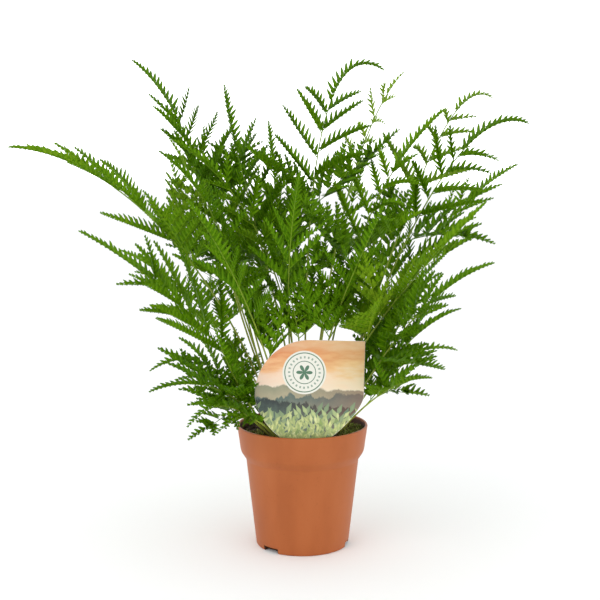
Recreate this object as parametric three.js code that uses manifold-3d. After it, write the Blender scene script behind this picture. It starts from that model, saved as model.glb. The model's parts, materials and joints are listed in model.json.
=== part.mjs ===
// A potted fern with finely cut fronds, in millimetres.
// +Z is up and -Y is the front. The origin is the middle of the pot's underside, on the floor.
// Its pieces are the pot, the soil, the plant label and one piece for each frond.

import * as THREE from "three";
import { mergeVertices } from "three/addons/utils/BufferGeometryUtils.js";
import Module from "manifold-3d";

const wasm = await Module();
wasm.setup();

// Pot
const rimRadius = 60;
const potHeight = 112;
const baseRadius = 42.8;
const bandBottom = 88; // height at which the band under the rim ends
const bandRadius = 56.6;
const stepBottom = 80.5; // height at which the step under the band meets the body
const bodyTopRadius = 51.7;
const wall = 1.6;
const floorThickness = 2.5;
const footHeight = 3; // depth of the ring groove in the underside
const footInner = 36;
const padRadius = 15;
const potSides = 32;
const notchAngles = [-132.6, -12.6, 107.4];
const notchWidth = 17;
const notchHeight = 4.6;
const drainHoles = 6;
const drainRadius = 4;
const drainCircle = 25.5;

// Soil
const gap = 0.35; // clearance between pieces that touch in the real thing
const soilEdge = 104.6;
const soilMiddle = 106.8;
const soilFlat = 34; // radius of the level middle that the fronds stand in
const plantingDepth = 96; // height at which the stems start, in the soil
const holeRadius = 2.6; // of the square holes that the stems stand in
const holeLength = 22;

// Label
const labelRadius = 47.8;
const labelThickness = 1;
const labelMiddle = [6, -45.6, 148.5];
const labelLean = 4; // degrees, top backwards
const labelTurn = -1.3; // degrees, in its own plane
const lowerFullness = [0.3, 0.47]; // of the outline's lower right and lower left; 0.55 is round
const stakeWidth = 12;
const stakeTip = 5;
const stakeLength = 14;
const labelView = 60; // depth in front of the label that the fronds leave free

// Fronds
const stemRadius = 1.45; // from the middle to the three edges
const stemTipRadius = 0.7;
const stemStations = 6; // between the root and the start of the tail
const ribRadius = 0.95;
const ribEndRadius = 0.6;
const neck = 2.2; // length between the stem's middle and a pinna's first teeth
const rootDepth = 0.35; // that a pinna's root point lies beyond the stem's middle
const clearance = 0.25; // that a new pinna keeps from everything that stands already
const pinnaLift = 17; // degrees that the pinnae rise out of the frond's plane
const edgeDrop = 20; // degrees that the two side edges of a rib lie below its plane
const lobeLift = 60; // degrees that the lobes of a pinna rise out of its plane
const branchLift = 30; // the same for the branches of a lower pinna
const tailLift = 50; // and for the lobes of a frond's tip
const pairOffset = 0.05; // share of the pinnae's run by which a pair's second pinna follows its first
const skyPull = 0.65; // how far the face of a pinna turns from the frond's own face to the sky, 0 to 1
const faceTwist = 30; // degrees of spread between the faces of pinnae
const sweep = 0.16; // bend of a pinna towards the frond's tip as a share of its length
const lobeAngle = 52; // degrees between the midrib and its lobes
const toothPitch = 21; // length of rib for each pair of teeth
const branchedPitch = 23; // the same on a pinna that has pinnae of its own

// What a blade tries when it would cross another frond: it rises or sinks, opens or closes,
// and grows shorter. The first one that stays clear is used.
const turns = [
  [0, 0], [13, 0], [-13, 0], [0, -11], [0, 11], [26, 0], [-26, 0], [20, -16], [-20, -16],
  [20, 14], [-20, 14], [40, 0], [-40, 0], [60, 10], [30, 28], [-30, 28],
];
const lengthShares = [1, 0.82, 0.64, 0.46];

// Each frond runs on a cubic Bezier curve from its root in the soil over rise and bend to its tip.
// bare is the share of the length with no pinnae, reach the length of the lowest pinna, and
// branched the number of lowest pairs that carry pinnae of their own. spread is the angle between
// the lowest pinnae and the stem, roll turns the frond about its stem, and tail is the length of
// the undivided tip as a share of reach. droop is the sag of a pinna's tip as a share of its length.
const fronds = [
  { name: "left_long", root: [-20, -1], rise: [-70, -5, 265], bend: [-172, -25, 361],
    tip: [-252, -45, 363], bare: 0.47, reach: 112, pairs: 5, branched: 1, spread: 40, roll: 14, tail: 0.6 },
  { name: "left_tallest", root: [-9, 9], rise: [-84, 34, 222], bend: [-78, 60, 380],
    tip: [-160, 60, 445], bare: 0.58, reach: 92, pairs: 5, branched: 1, roll: 25 },
  { name: "left_tall_back", root: [-9, 16], rise: [-70, 60, 209], bend: [-54, 95, 330],
    tip: [-146, 100, 404], bare: 0.52, reach: 96, pairs: 5, branched: 1, roll: 31 },
  { name: "left_middle", root: [-3, 3], rise: [-2, 14, 215], bend: [-37, 14, 325],
    tip: [-117, 4, 370], bare: 0.5, reach: 78, pairs: 5, branched: 1, roll: 45 },
  { name: "left_inner", root: [-15, -7], rise: [-60, -22, 211], bend: [-50, -30, 305],
    tip: [-124, -40, 360], bare: 0.5, reach: 72, pairs: 5, branched: 1, roll: 15 },
  { name: "left_low", root: [-26, -6], rise: [-59, -40, 191], bend: [-121, -66, 256],
    tip: [-187, -80, 294], bare: 0.38, reach: 104, pairs: 6, branched: 0, spread: 38, roll: 50 },
  { name: "front_left", root: [-8, -20], rise: [-35, -30, 195], bend: [-52, -84, 262],
    tip: [-94, -110, 321], bare: 0.33, reach: 95, pairs: 6, branched: 2, roll: 8 },
  { name: "middle_straight", root: [-3, 12], rise: [-16, 30, 222], bend: [-60, 36, 330],
    tip: [-72, 36, 421], bare: 0.5, reach: 88, pairs: 5, branched: 1, roll: 60 },
  { name: "middle_arched", root: [3, 6], rise: [1, 16, 233], bend: [2, 40, 481],
    tip: [74, 20, 432], bare: 0.55, reach: 94, pairs: 5, branched: 1, roll: -72, droop: 0.26 },
  { name: "right_young", root: [7, 15], rise: [21, 44, 263], bend: [55, 70, 394],
    tip: [97, 80, 435], bare: 0.64, reach: 54, pairs: 5, branched: 0, roll: 70, tail: 0.5, droop: 0.42 },
  { name: "right_inner", root: [10, -1], rise: [38, -4, 263], bend: [61, -16, 339],
    tip: [125, -24, 397], bare: 0.5, reach: 92, pairs: 5, branched: 1, roll: -50, droop: 0.3 },
  { name: "right_crozier", root: [16, 5], rise: [76, 18, 224], bend: [126, 40, 443],
    tip: [177, 50, 409], bare: 0.66, reach: 60, pairs: 4, branched: 0, roll: -60, droop: 0.42 },
  { name: "right_arched", root: [17, -3], rise: [62, -14, 210], bend: [128, -24, 412],
    tip: [194, -40, 383], bare: 0.54, reach: 90, pairs: 5, branched: 1, roll: -72, droop: 0.32 },
  { name: "right_back", root: [20, 9], rise: [60, 40, 202], bend: [113, 70, 295],
    tip: [210, 90, 348], bare: 0.46, reach: 80, pairs: 5, branched: 1, spread: 42, roll: -35 },
  { name: "right_front", root: [12, -9], rise: [42, -36, 195], bend: [99, -66, 260],
    tip: [152, -84, 318], bare: 0.4, reach: 92, pairs: 5, branched: 2, roll: -20 },
  { name: "right_low", root: [24, -10], rise: [54, -32, 148], bend: [89, -86, 245],
    tip: [155, -112, 270], bare: 0.4, reach: 88, pairs: 5, branched: 2, spread: 44, roll: -45 },
  { name: "right_short", root: [28, -2], rise: [54, -14, 139], bend: [88, -6, 195],
    tip: [142, 4, 179], bare: 0.36, reach: 62, pairs: 4, branched: 2, roll: -38 },
  { name: "right_lowest", root: [22, -17], rise: [54, -30, 135], bend: [75, -80, 171],
    tip: [105, -120, 177], bare: 0.38, reach: 66, pairs: 4, branched: 2, roll: -20 },
  { name: "left_short", root: [-28, -12], rise: [-46, -44, 145], bend: [-82, -80, 178],
    tip: [-127, -104, 162], bare: 0.28, reach: 84, pairs: 4, branched: 2, roll: 10 },
  { name: "left_hanging", root: [-22, -18], rise: [-54, -48, 140], bend: [-70, -94, 162],
    tip: [-94, -120, 136], bare: 0.3, reach: 64, pairs: 4, branched: 1, roll: 10 },
  { name: "left_lowest", root: [-30, -3], rise: [-51, -12, 145], bend: [-88, -10, 196],
    tip: [-137, -20, 164], bare: 0.3, reach: 78, pairs: 4, branched: 2, roll: 30 },
  { name: "middle_front", root: [-4, -9], rise: [-16, -26, 202], bend: [-15, -46, 275],
    tip: [-2, -66, 344], bare: 0.42, reach: 90, pairs: 5, branched: 2, roll: 20 },
  { name: "front_right", root: [5, -17], rise: [15, -16, 192], bend: [40, -70, 252],
    tip: [67, -94, 316], bare: 0.42, reach: 90, pairs: 5, branched: 2, roll: 0 },
  { name: "back_left", root: [-11, 22], rise: [-32, 80, 187], bend: [-74, 140, 271],
    tip: [-116, 170, 362], bare: 0.44, reach: 92, pairs: 4, branched: 2, roll: 20 },
  { name: "back_middle", root: [-1, 22], rise: [-12, 84, 196], bend: [-23, 140, 291],
    tip: [-35, 160, 392], bare: 0.44, reach: 92, pairs: 4, branched: 2, roll: 0 },
  { name: "back_right", root: [9, 22], rise: [17, 84, 196], bend: [38, 130, 281],
    tip: [70, 165, 362], bare: 0.44, reach: 88, pairs: 4, branched: 2, roll: -20 },
  { name: "back_left_low", root: [-18, 17], rise: [-55, 70, 164], bend: [-103, 125, 226],
    tip: [-190, 165, 258], bare: 0.44, reach: 86, pairs: 4, branched: 2, roll: 10 },
  { name: "back_right_low", root: [19, 17], rise: [42, 72, 158], bend: [100, 135, 209],
    tip: [154, 165, 258], bare: 0.44, reach: 86, pairs: 4, branched: 2, roll: 0 },
  { name: "left_crozier", root: [-15, 6], rise: [-58, 16, 215], bend: [-84, 16, 318],
    tip: [-120, 4, 372], bare: 0.6, reach: 36, pairs: 4, branched: 0, roll: 40, tail: 0.8, droop: 0.4 },
  { name: "left_rim", root: [-15, -24], rise: [-34, -42, 122], bend: [-50, -66, 146],
    tip: [-72, -92, 124], bare: 0.24, reach: 60, pairs: 4, branched: 2, spread: 60, roll: 12 },
  { name: "right_side", root: [31, -8], rise: [57, -26, 150], bend: [94, -50, 212],
    tip: [136, -60, 226], bare: 0.36, reach: 80, pairs: 4, branched: 2, roll: -20 },
  { name: "left_upright", root: [-19, -21], rise: [-50, -46, 138], bend: [-62, -66, 172],
    tip: [-74, -88, 214], bare: 0.3, reach: 60, pairs: 4, branched: 2, spread: 55, roll: 40 },
  { name: "front_small", root: [0, -22], rise: [1, -30, 170], bend: [-3, -32, 212],
    tip: [-12, -64, 240], bare: 0.66, reach: 56, pairs: 4, branched: 1, spread: 60, roll: 0, tail: 0.6,
    droop: 0.06 },
];
const usualSpread = 53;
const usualTail = 0.72;
const usualDroop = 0.14;

// Materials
const terracotta = new THREE.MeshStandardMaterial({ color: 0xb56840, roughness: 0.5, metalness: 0 });
const earth = new THREE.MeshStandardMaterial({ color: 0x3a2a1c, roughness: 0.95, metalness: 0 });
const card = new THREE.MeshStandardMaterial({ color: 0xe6c9a0, roughness: 0.4, metalness: 0 });
const leafGreen = new THREE.MeshStandardMaterial({ color: 0x4b7a1c, roughness: 0.55, metalness: 0 });
const youngGreen = new THREE.MeshStandardMaterial({ color: 0x7d9c34, roughness: 0.55, metalness: 0 });
const youngFronds = ["left_crozier", "right_young", "right_crozier"];

// Small helpers

const radians = THREE.MathUtils.degToRad;
const skyward = new THREE.Vector3(0, 0, 1);

function vector(list) {
  return new THREE.Vector3(...list);
}

// A repeatable draw between 0 and 1 for a frond's seed and the number of the draw.
function draw(seed, number) {
  const value = Math.sin(seed * 12.9898 + number * 78.233) * 43758.5453;
  return value - Math.floor(value);
}

// Sum of vectors, each times its factor.
function combine(...terms) {
  const sum = new THREE.Vector3();
  for (const [factor, part] of terms) {
    sum.addScaledVector(part, factor);
  }
  return sum;
}

function solidFrom(positions, triangles) {
  return new wasm.Manifold(new wasm.Mesh({
    numProp: 3,
    vertProperties: new Float32Array(positions),
    triVerts: new Uint32Array(triangles),
  }));
}

// A geometry as a solid: shared vertices merged, collapsed triangles dropped.
function solidOf(geometry) {
  geometry.deleteAttribute("normal");
  geometry.deleteAttribute("uv");
  const merged = mergeVertices(geometry, 1e-3);
  const index = merged.index.array;
  const kept = [];
  for (let i = 0; i < index.length; i += 3) {
    const [a, b, c] = [index[i], index[i + 1], index[i + 2]];
    if (a !== b && b !== c && c !== a) {
      kept.push(a, b, c);
    }
  }
  return solidFrom(merged.attributes.position.array, kept);
}

function meshOf(name, solid, material) {
  const { vertProperties, triVerts } = solid.getMesh();
  const geometry = new THREE.BufferGeometry();
  geometry.setAttribute("position", new THREE.BufferAttribute(new Float32Array(vertProperties), 3));
  geometry.setIndex(new THREE.BufferAttribute(new Uint32Array(triVerts), 1));
  geometry.computeVertexNormals();
  const mesh = new THREE.Mesh(geometry, material);
  mesh.name = name;
  return mesh;
}

// A turned body about the Z axis from a profile of [radius, height] points.
function turned(profile) {
  const points = profile.map(([radius, height]) => new THREE.Vector2(radius, height));
  const geometry = new THREE.LatheGeometry(points, potSides);
  geometry.rotateX(Math.PI / 2);
  return solidOf(geometry);
}

// Pot: a turned shell with a foot ring, three notches through the foot and a ring of drain holes.

function innerRadius(height) {
  const slope = (bodyTopRadius - baseRadius) / stepBottom;
  return baseRadius + slope * height - wall;
}

const floorTop = footHeight + floorThickness;
const rimInner = rimRadius - wall - 0.6;
const bandInner = bandRadius - wall - 0.2;
const stepInner = innerRadius(stepBottom);

function potSolid() {
  let pot = turned([
    [0, 0],
    [padRadius, 0],
    [padRadius + 1.5, footHeight],
    [footInner - 1.5, footHeight],
    [footInner, 0],
    [baseRadius - 0.3, 0],
    [bodyTopRadius, stepBottom],
    [bandRadius, bandBottom],
    [rimRadius - 0.2, potHeight - 1],
    [rimRadius - 0.7, potHeight],
    [rimInner, potHeight],
    [bandInner, bandBottom],
    [stepInner, stepBottom],
    [innerRadius(floorTop), floorTop],
    [0, floorTop],
  ]);
  for (const angle of notchAngles) {
    const notch = new THREE.BoxGeometry(12, notchWidth, 2 * notchHeight);
    notch.translate(baseRadius - 1, 0, 0);
    notch.rotateZ(radians(angle));
    pot = pot.subtract(solidOf(notch));
  }
  for (let i = 0; i < drainHoles; i++) {
    const hole = new THREE.CylinderGeometry(drainRadius, drainRadius, 4 * floorThickness, 6);
    hole.rotateX(Math.PI / 2);
    hole.translate(drainCircle, 0, footHeight + floorThickness / 2);
    hole.rotateZ(radians(15) + (i * 2 * Math.PI) / drainHoles);
    pot = pot.subtract(solidOf(hole));
  }
  return pot;
}

// Label: a flat drop with one square corner on a short stake, as one cut-out.

// frontRoom thickens it to the front by that much.

function labelSolid(grow, frontRoom = 0) {
  const radius = labelRadius + grow;
  const half = stakeWidth / 2 + grow;
  const foot = -labelRadius - stakeLength - grow;
  const [right, left] = lowerFullness.map((share) => share * radius);
  const outline = new THREE.Shape();
  outline.moveTo(radius, radius);
  outline.lineTo(radius, 0);
  outline.bezierCurveTo(radius, -right, right, -radius, half, -radius);
  outline.lineTo(half, foot + stakeTip);
  outline.lineTo(0, foot);
  outline.lineTo(-half, foot + stakeTip);
  outline.lineTo(-half, -radius);
  outline.bezierCurveTo(-left, -radius, -radius, -left, -radius, 0);
  outline.absarc(0, 0, radius, Math.PI, Math.PI / 2, true);
  const depth = labelThickness + 2 * grow + frontRoom;
  const geometry = new THREE.ExtrudeGeometry(outline, { depth, bevelEnabled: false, curveSegments: 8 });
  geometry.translate(0, 0, -labelThickness / 2 - grow);
  geometry.rotateZ(radians(labelTurn));
  geometry.rotateX(Math.PI / 2 - radians(labelLean));
  geometry.translate(...labelMiddle);
  return solidOf(geometry);
}

// Soil: it fills the pot, with a low mound, a plain hole for each stem and a slot for the label.

function soilSolid() {
  const edge = rimInner - ((rimInner - bandInner) * (potHeight - soilEdge)) / (potHeight - bandBottom);
  let soil = turned([
    [0, floorTop + gap],
    [innerRadius(floorTop) - 2 * gap, floorTop + gap],
    [stepInner - 2 * gap, stepBottom + gap],
    [bandInner - 2 * gap, bandBottom + gap],
    [edge - 2 * gap, soilEdge],
    [soilFlat, soilMiddle],
    [0, soilMiddle],
  ]);
  for (const frond of fronds) {
    const start = frond.curve.getPoint(0);
    const direction = stemPoint(frond, 0.05).sub(start).normalize();
    const hole = new THREE.CylinderGeometry(holeRadius, holeRadius, holeLength, 4);
    hole.translate(0, holeLength / 2 - gap, 0);
    hole.applyQuaternion(new THREE.Quaternion().setFromUnitVectors(new THREE.Vector3(0, 1, 0), direction));
    hole.translate(start.x, start.y, start.z);
    soil = soil.subtract(solidOf(hole));
  }
  return soil.subtract(labelSolid(gap));
}

// Fronds

for (const [number, frond] of fronds.entries()) {
  const [x, y] = frond.root;
  frond.seed = number + 1;
  frond.curve = new THREE.CubicBezierCurve3(
    new THREE.Vector3(x, y, plantingDepth), vector(frond.rise), vector(frond.bend), vector(frond.tip));
  frond.length = frond.curve.getLength();
  const leafy = (1 - frond.bare) * frond.length;
  frond.tailLength = Math.min((frond.tail ?? usualTail) * frond.reach, 0.45 * leafy);
  frond.tailShare = 1 - frond.tailLength / frond.length;
  const outward = new THREE.Vector3(frond.tip[0] - x, frond.tip[1] - y, 0).normalize();
  frond.side = new THREE.Vector3().crossVectors(skyward, outward);
}

// A point of the stem at a share of its length. Below the tail the stem is straight between its
// stations, so there the point is on the chord beside the curve.
function stemPoint(frond, share) {
  if (share >= frond.tailShare) {
    return frond.curve.getPointAt(share);
  }
  const step = frond.tailShare / (stemStations - 1);
  const station = Math.floor(share / step);
  const [low, high] = [station, station + 1].map((number) => frond.curve.getPointAt(number * step));
  return low.lerp(high, share / step - station);
}

// The stem's own directions at a share of its length: along it, up from the frond's face, across it.
function stemFrame(frond, share) {
  const along = frond.curve.getTangentAt(share);
  const flatUp = new THREE.Vector3().crossVectors(along, frond.side).normalize();
  const flatAcross = new THREE.Vector3().crossVectors(flatUp, along);
  const cos = Math.cos(radians(frond.roll));
  const sin = Math.sin(radians(frond.roll));
  return {
    point: stemPoint(frond, share),
    along,
    up: combine([cos, flatUp], [sin, flatAcross]),
    across: combine([cos, flatAcross], [-sin, flatUp]),
  };
}

// The directions of a blade that runs along slope: its face is turned to the sky and then by twist.
function bladeFace(slope, face, twist) {
  const wanted = combine([skyPull, skyward], [1 - skyPull, face]);
  const up = combine([1, wanted], [-wanted.dot(slope), slope]).normalize().applyAxisAngle(slope, twist);
  return { along: slope, across: new THREE.Vector3().crossVectors(up, slope), up };
}

// A body along a rib of three edges, one on each side and the ridge above, that ends in a point.
// Each station has its frame, its radius and the frame and length of the two pointed teeth that
// stand between it and the next station, if any. The teeth are folded up by lift. With a root
// point the rib also starts in a point.
function ribSolid({ stations, rootPoint, endPoint, lift }) {
  const positions = [];
  const triangles = [];
  const add = (spot) => positions.push(spot.x, spot.y, spot.z) / 3 - 1;
  const raised = (frame, side, angle) =>
    combine([side * Math.cos(angle), frame.across], [Math.sin(angle), frame.up]);
  const corners = stations.map(({ frame, radius }) => [
    add(combine([1, frame.point], [radius, raised(frame, 1, -radians(edgeDrop))])),
    add(combine([1, frame.point], [radius, raised(frame, -1, -radians(edgeDrop))])),
    add(combine([1, frame.point], [radius, frame.up])),
  ]);
  const toothTip = ({ frame, length }, side) => add(combine(
    [1, frame.point],
    [length * Math.cos(radians(lobeAngle)), frame.along],
    [length * Math.sin(radians(lobeAngle)), raised(frame, side, lift)]));
  // The face between two edges of the rib, or the tooth that stands on it.
  const flank = (low, nextLow, nextHigh, high, tip) => {
    if (tip === undefined) {
      triangles.push(low, nextLow, nextHigh, low, nextHigh, high);
    } else {
      triangles.push(low, nextLow, tip, nextLow, nextHigh, tip, nextHigh, high, tip, high, low, tip);
    }
  };
  for (let i = 0; i < stations.length - 1; i++) {
    const [left, right, ridge] = corners[i];
    const [nextLeft, nextRight, nextRidge] = corners[i + 1];
    const { tooth } = stations[i];
    flank(left, nextLeft, nextRight, right);
    flank(ridge, nextRidge, nextLeft, left, tooth && toothTip(tooth, 1));
    flank(right, nextRight, nextRidge, ridge, tooth && toothTip(tooth, -1));
  }
  const [left, right, ridge] = corners[0];
  if (rootPoint) {
    const root = add(rootPoint);
    triangles.push(root, left, right, root, right, ridge, root, ridge, left);
  } else {
    triangles.push(left, right, ridge);
  }
  const [endLeft, endRight, endRidge] = corners[corners.length - 1];
  const end = add(endPoint);
  triangles.push(endLeft, end, endRight, endRight, end, endRidge, endRidge, end, endLeft);
  return solidFrom(positions, triangles);
}

// The stations of a toothed rib between the shares from and 0.94 of its length.
function toothedStations({ frameAt, from, teeth, toothLength, startRadius, grow }) {
  const share = (i) => from + ((0.94 - from) * i) / teeth;
  const stations = [];
  for (let i = 0; i <= teeth; i++) {
    const middle = share(i + 0.45);
    stations.push({
      frame: frameAt(share(i)),
      radius: THREE.MathUtils.lerp(startRadius, ribEndRadius, i / teeth) + 2 * grow,
      tooth: { frame: frameAt(Math.min(middle, 1)), length: toothLength(middle) + 4 * grow },
    });
  }
  return stations;
}

// The stem with its tail, and the tail alone, which keeps the pinnae clear of it.
function stemSolids(frond) {
  const stations = [];
  for (let i = 0; i < stemStations - 1; i++) {
    const share = (frond.tailShare * i) / (stemStations - 1);
    const radius = THREE.MathUtils.lerp(stemRadius, stemTipRadius, share / frond.tailShare);
    stations.push({ frame: stemFrame(frond, share), radius });
  }
  const longest = 1.1 * Math.min(13, 2.5 + 0.16 * frond.tailLength);
  const tail = toothedStations({
    frameAt: (u) => {
      const { point, along, up } = stemFrame(frond, frond.tailShare + u * (1 - frond.tailShare));
      return { point, ...bladeFace(along, up, 0) };
    },
    from: 0,
    teeth: Math.max(2, Math.round(frond.tailLength / toothPitch)),
    toothLength: (u) => longest * (1 - u) ** 0.45,
    startRadius: stemTipRadius,
    grow: 0,
  });
  const endPoint = frond.curve.getPoint(1);
  const lift = radians(tailLift);
  return [[...stations, ...tail], tail].map((chosen) => ribSolid({ stations: chosen, endPoint, lift }));
}

// One pinna: a blade that bends towards the frond's tip, with its face turned to the sky. turn and
// lengthShare are what is being tried, and grow swells it.
function pinnaSolid(pinna, [moreLift, moreSpread], lengthShare, grow) {
  const { frame, side, seed, branched } = pinna;
  const rise = radians(pinna.lift + moreLift);
  const open = radians(pinna.spread + moreSpread);
  const length = pinna.length * lengthShare;
  const sideways = combine([side * Math.cos(rise), frame.across], [Math.sin(rise), frame.up]);
  const along = combine([Math.cos(open), frame.along], [Math.sin(open), sideways]);
  const face = combine([Math.cos(rise), frame.up], [-side * Math.sin(rise), frame.across]);
  const twist = radians(faceTwist) * (draw(seed, 3) - 0.5);
  const sag = pinna.droop * (0.3 + 1.4 * draw(seed, 7));
  const bend = combine([sweep, frame.along], [-sag, skyward]);
  const frameAt = (u) => {
    const point = combine([1, frame.point], [length * u, along], [length * u * u, bend]);
    return { point, ...bladeFace(combine([1, along], [2 * u, bend]).normalize(), face, twist) };
  };
  const longest = 1.1 * Math.min(15, 3.5 + 0.16 * length);
  const stations = toothedStations({
    frameAt,
    from: neck / length,
    teeth: Math.max(2, Math.round(length / (branched ? branchedPitch : toothPitch))),
    toothLength: (u) => (branched
      ? length * (0.4 * (1 - u) ** 0.9 + 0.03)
      : longest * Math.min(1, 0.8 + 2.5 * u) * (1 - u) ** 0.45),
    startRadius: ribRadius,
    grow,
  });
  return ribSolid({
    stations,
    rootPoint: frameAt(-rootDepth / length).point,
    endPoint: frameAt(1).point,
    lift: radians(branched ? branchLift : lobeLift) * (0.85 + 0.3 * draw(seed, 5)),
  });
}

// The places, lengths and angles of a frond's pinnae, from the lowest pair to the last one.
function pinnaeOf(frond) {
  const run = (frond.tailShare - frond.bare) * frond.length;
  const pinnae = [];
  for (let pair = 0; pair < frond.pairs; pair++) {
    const u = 1 - (1 - pair / frond.pairs) ** 1.3;
    const shorter = pair === 0 ? 1 : 0.3 + 0.48 * (1 - u) ** 0.7;
    for (const side of [1, -1]) {
      const second = side < 0 ? 1 : 0;
      const number = 5 * (2 * pair + second);
      const place = run * (u + 0.03 * (draw(frond.seed, number + 1) - 0.5) + pairOffset * second);
      pinnae.push({
        frame: stemFrame(frond, frond.bare + place / frond.length),
        side,
        seed: frond.seed + 0.37 * (2 * pair + second + 1),
        branched: pair < frond.branched,
        length: frond.reach * shorter * (0.88 + 0.24 * draw(frond.seed, number + 2)),
        spread: (frond.spread ?? usualSpread) - 12 * u + 12 * (draw(frond.seed, number + 3) - 0.5),
        lift: pinnaLift + 12 * (draw(frond.seed, number + 4) - 0.5),
        droop: frond.droop ?? usualDroop,
      });
    }
  }
  return pinnae;
}

// Everything that stands already, with its box.
const standing = [];

function boxOf(solid) {
  const { min, max } = solid.boundingBox();
  return new THREE.Box3(vector(min), vector(max));
}

function stand(...solids) {
  for (const solid of solids) {
    standing.push({ solid, box: boxOf(solid) });
  }
}

function isClear(solid, ownStem) {
  const box = boxOf(solid);
  return !standing.some((other) =>
    other.solid !== ownStem && other.box.intersectsBox(box) && !solid.intersect(other.solid).isEmpty());
}

// The pinna with the first turn and length at which it is clear of everything but its own stem.
// A pinna that never is gives null and is left out.
function grownPinna(pinna, ownStem) {
  for (const lengthShare of lengthShares) {
    for (const turn of turns) {
      const swollen = pinnaSolid(pinna, turn, lengthShare, clearance);
      if (isClear(swollen, ownStem)) {
        return pinnaSolid(pinna, turn, lengthShare, 0);
      }
    }
  }
  return null;
}

// Group

const pot = potSolid();
const label = labelSolid(0);
const soil = soilSolid();
stand(pot, soil, labelSolid(0, labelView));

for (const frond of fronds) {
  const [stem, tail] = stemSolids(frond);
  frond.stem = stem;
  stand(stem, tail);
}
for (const frond of fronds) {
  frond.solid = frond.stem;
  for (const pinna of pinnaeOf(frond)) {
    const grown = grownPinna(pinna, frond.stem);
    if (grown) {
      frond.solid = frond.solid.add(grown);
      stand(grown);
    }
  }
}

const group = new THREE.Group();
group.add(meshOf("pot", pot, terracotta));
group.add(meshOf("soil", soil, earth));
group.add(meshOf("label", label, card));
for (const frond of fronds) {
  const material = youngFronds.includes(frond.name) ? youngGreen : leafGreen;
  group.add(meshOf(`frond_${frond.name}`, frond.solid, material));
}

export default group;
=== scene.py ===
import json
import math

import bpy
import numpy as np
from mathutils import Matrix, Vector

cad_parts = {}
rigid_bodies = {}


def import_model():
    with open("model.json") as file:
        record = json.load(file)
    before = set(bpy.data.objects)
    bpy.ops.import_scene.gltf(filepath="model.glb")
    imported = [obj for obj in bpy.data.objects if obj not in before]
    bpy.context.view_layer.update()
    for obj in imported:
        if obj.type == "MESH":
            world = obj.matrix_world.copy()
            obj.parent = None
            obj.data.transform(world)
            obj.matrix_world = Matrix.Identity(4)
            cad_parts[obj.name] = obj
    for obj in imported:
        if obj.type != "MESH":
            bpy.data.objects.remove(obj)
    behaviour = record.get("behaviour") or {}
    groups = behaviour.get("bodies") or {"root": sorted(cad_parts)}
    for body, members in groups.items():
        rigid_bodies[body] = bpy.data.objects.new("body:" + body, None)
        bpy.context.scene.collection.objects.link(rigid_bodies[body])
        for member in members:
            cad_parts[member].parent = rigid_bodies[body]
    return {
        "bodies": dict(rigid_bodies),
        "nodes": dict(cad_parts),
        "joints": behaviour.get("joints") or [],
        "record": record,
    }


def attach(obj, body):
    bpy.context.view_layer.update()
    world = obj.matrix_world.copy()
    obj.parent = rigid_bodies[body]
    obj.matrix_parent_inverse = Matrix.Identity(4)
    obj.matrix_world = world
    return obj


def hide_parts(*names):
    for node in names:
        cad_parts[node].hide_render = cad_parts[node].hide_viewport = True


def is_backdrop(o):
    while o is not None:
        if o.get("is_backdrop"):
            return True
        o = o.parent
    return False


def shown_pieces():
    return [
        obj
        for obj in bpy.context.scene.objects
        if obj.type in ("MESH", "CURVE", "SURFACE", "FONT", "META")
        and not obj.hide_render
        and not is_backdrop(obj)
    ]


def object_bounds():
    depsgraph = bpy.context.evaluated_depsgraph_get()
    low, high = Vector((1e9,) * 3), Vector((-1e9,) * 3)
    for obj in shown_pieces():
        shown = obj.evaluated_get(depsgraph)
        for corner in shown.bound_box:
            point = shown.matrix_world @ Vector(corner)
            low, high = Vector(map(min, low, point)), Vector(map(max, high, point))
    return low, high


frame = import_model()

# A potted fern: the fine pot, soil, moss, label and fronds that stand for the solids of the model.
# Lengths in the dictionaries are in millimetres, angles in degrees.

cadLow, cadHigh = (np.array(corner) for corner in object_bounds())
mm = 0.001
skyward = np.array([0, 0, 1.0])


# Vectors and repeatable draws

def unit(v):
    return v / np.maximum(np.linalg.norm(v, axis=-1, keepdims=True), 1e-12)


def dot(a, b):
    return (a * b).sum(-1, keepdims=True)


def mix(a, b, share):
    return a + (b - a) * share


def cosSin(degrees):
    angle = np.radians(degrees)
    return np.cos(angle), np.sin(angle)


# Even angles round a circle, in radians.
def circle(count, start=0.0):
    return start + 2 * np.pi * np.arange(count) / count


# Points by their distance from the Z axis, their angle in radians and their height.
def polar(radius, angle, height=0.0):
    return np.stack(np.broadcast_arrays(radius * np.cos(angle), radius * np.sin(angle), height), -1)


# The cubic Bezier curve: each corner weighs as its own term of (1 - t) + t to the power 3.
def bezier(t, a, b, c, d):
    return (1 - t) ** 3 * a + 3 * (1 - t) ** 2 * t * b + 3 * (1 - t) * t * t * c + t ** 3 * d


# A number between 0 and 1 for each seed and number: the fraction of a large sine.
def draw(seed, number):
    value = np.sin(seed * 12.9898 + number * 78.233) * 43758.5453
    return value - np.floor(value)


# The same draw moved to lie about 0, with reach between its ends.
def sway(seed, number, reach):
    return reach * (draw(seed, number) - 0.5)


# Meshes

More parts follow.
